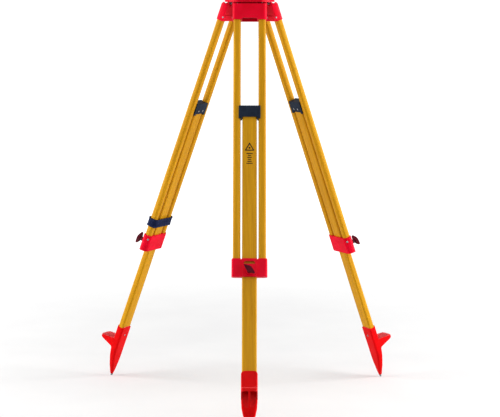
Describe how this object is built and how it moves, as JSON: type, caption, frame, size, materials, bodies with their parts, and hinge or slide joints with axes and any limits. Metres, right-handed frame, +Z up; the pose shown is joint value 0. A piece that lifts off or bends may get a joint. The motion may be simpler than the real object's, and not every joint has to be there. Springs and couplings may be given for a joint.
{
  "type": "surveyor tripod",
  "caption": "Tripod for surveying instruments: flat round head with a centring screw, hinged twin-stile legs, sliding lower legs held by wing-screw clamps, and pointed feet with pedals.",
  "frame": {"origin": "centre of the head's flat top face, on the end of the centring screw", "axes": "+Z up out of the head face; -Y is the azimuth of the front leg, +X to the right of it; the other legs stand at 30 and 150 degrees"},
  "size_m": [0.9855, 0.8583, 1.285],
  "materials": {
    "red_enamel": "gloss enamel on cast aluminium",
    "foot_enamel": "gloss enamel on cast aluminium, scuffed at the point",
    "lacquered_wood": "amber-yellow lacquer over straight-grained hardwood",
    "slate_plastic": "satin moulded plastic",
    "maroon_plastic": "dark maroon moulding",
    "black_plastic": "moulded knob",
    "steel": "zinc-plated",
    "brass": "machined",
    "navy_webbing": "woven webbing"
  },
  "bodies": {
    "head": {"head_plate": "red_enamel", "arm_pivot_screw": "steel"},
    "centring_arm": {"centring_arm": "red_enamel"},
    "guide_bush": {"guide_bush": "brass"},
    "thrust_washer": {"thrust_washer": "steel"},
    "centring_screw": {"centring_screw": "brass", "centring_knob": "black_plastic", "plumb_hook": "steel"},
    "front_leg": {"front_hinge_casting": "red_enamel", "front_hinge_pin": "steel", "front_casting_cross_pin": "steel", "front_stile_a": "lacquered_wood", "front_stile_b": "lacquered_wood", "front_clamp_bracket": "red_enamel", "front_clamp_rivet_a": "steel", "front_clamp_rivet_b": "steel"},
    "front_lower": {"front_lower_leg": "lacquered_wood", "front_guide_block": "slate_plastic", "front_guide_screw_a": "steel", "front_guide_screw_b": "steel", "front_foot_shoe": "foot_enamel", "front_foot_tip": "steel"},
    "front_pad": {"front_clamp_pad": "brass"},
    "front_wing": {"front_clamp_screw": "steel", "front_wing_knob": "maroon_plastic"},
    "left_leg": {"left_hinge_casting": "red_enamel", "left_hinge_pin": "steel", "left_casting_cross_pin": "steel", "left_stile_a": "lacquered_wood", "left_stile_b": "lacquered_wood", "left_clamp_bracket": "red_enamel", "left_clamp_rivet_a": "steel", "left_clamp_rivet_b": "steel", "leg_strap": "navy_webbing"},
    "left_lower": {"left_lower_leg": "lacquered_wood", "left_guide_block": "slate_plastic", "left_guide_screw_a": "steel", "left_guide_screw_b": "steel", "left_foot_shoe": "foot_enamel", "left_foot_tip": "steel"},
    "left_pad": {"left_clamp_pad": "brass"},
    "left_wing": {"left_clamp_screw": "steel", "left_wing_knob": "maroon_plastic"},
    "right_leg": {"right_hinge_casting": "red_enamel", "right_hinge_pin": "steel", "right_casting_cross_pin": "steel", "right_stile_a": "lacquered_wood", "right_stile_b": "lacquered_wood", "right_clamp_bracket": "red_enamel", "right_clamp_rivet_a": "steel", "right_clamp_rivet_b": "steel"},
    "right_lower": {"right_lower_leg": "lacquered_wood", "right_guide_block": "slate_plastic", "right_guide_screw_a": "steel", "right_guide_screw_b": "steel", "right_foot_shoe": "foot_enamel", "right_foot_tip": "steel"},
    "right_pad": {"right_clamp_pad": "brass"},
    "right_wing": {"right_clamp_screw": "steel", "right_wing_knob": "maroon_plastic"}
  },
  "joints": [
    {"name": "front_leg_hinge", "type": "hinge", "parent": "head", "child": "front_leg", "pos_m": [0, -0.0474, -0.0154], "axis": [-1, 0, 0], "range_deg": [-20.7, 10.5]},
    {"name": "front_leg_extension", "type": "slide", "parent": "front_leg", "child": "front_lower", "axis": [0, -0.3535, -0.9354], "range_m": [-0.2697, 0.4383]},
    {"name": "front_pad_press", "type": "slide", "parent": "front_leg", "child": "front_pad", "axis": [0, -0.9354, 0.3535], "range_m": [0, 0.0018]},
    {"name": "front_wing_turn", "type": "hinge", "parent": "front_pad", "child": "front_wing", "pos_m": [0, -0.36675, -0.82263], "axis": [0, -0.9354, 0.3535], "range_deg": [0, 360]},
    {"name": "left_leg_hinge", "type": "hinge", "parent": "head", "child": "left_leg", "pos_m": [-0.04105, 0.0237, -0.0154], "axis": [0.5, 0.866, 0], "range_deg": [-21.4, 9.8]},
    {"name": "left_leg_extension", "type": "slide", "parent": "left_leg", "child": "left_lower", "axis": [-0.316, 0.1824, -0.9311], "range_m": [-0.2762, 0.4318]},
    {"name": "left_pad_press", "type": "slide", "parent": "left_leg", "child": "left_pad", "axis": [-0.8063, 0.4655, 0.3649], "range_m": [0, 0.0018]},
    {"name": "left_wing_turn", "type": "hinge", "parent": "left_pad", "child": "left_wing", "pos_m": [-0.32614, 0.18829, -0.81867], "axis": [-0.8063, 0.4655, 0.3649], "range_deg": [0, 360]},
    {"name": "right_leg_hinge", "type": "hinge", "parent": "head", "child": "right_leg", "pos_m": [0.04105, 0.0237, -0.0154], "axis": [0.5, -0.866, 0], "range_deg": [-20.3, 10.9]},
    {"name": "right_leg_extension", "type": "slide", "parent": "right_leg", "child": "right_lower", "axis": [0.3005, 0.1735, -0.9379], "range_m": [-0.2662, 0.4418]},
    {"name": "right_pad_press", "type": "slide", "parent": "right_leg", "child": "right_pad", "axis": [0.8122, 0.4689, 0.3469], "range_m": [0, 0.0018]},
    {"name": "right_wing_turn", "type": "hinge", "parent": "right_pad", "child": "right_wing", "pos_m": [0.31273, 0.18055, -0.82484], "axis": [0.8122, 0.4689, 0.3469], "range_deg": [0, 360]},
    {"name": "arm_swing", "type": "hinge", "parent": "head", "child": "centring_arm", "pos_m": [0, 0.062, -0.0155], "axis": [0, 0, 1], "range_deg": [-13, 13]},
    {"name": "bush_slide", "type": "slide", "parent": "centring_arm", "child": "guide_bush", "axis": [0, 1, 0], "range_m": [-0.015, 0.015]},
    {"name": "screw_lift", "type": "slide", "parent": "guide_bush", "child": "thrust_washer", "axis": [0, 0, 1], "range_m": [-0.004, 0.011]},
    {"name": "screw_turn", "type": "hinge", "parent": "thrust_washer", "child": "centring_screw", "pos_m": [0, 0, 0], "axis": [0, 0, 1], "continuous": true}
  ],
  "couplings": [
    {"joint": "front_pad_press", "follows": "front_wing_turn", "m_per_rad": 0.00023873},
    {"joint": "left_pad_press", "follows": "left_wing_turn", "m_per_rad": 0.00023873},
    {"joint": "right_pad_press", "follows": "right_wing_turn", "m_per_rad": 0.00023873}
  ]
}
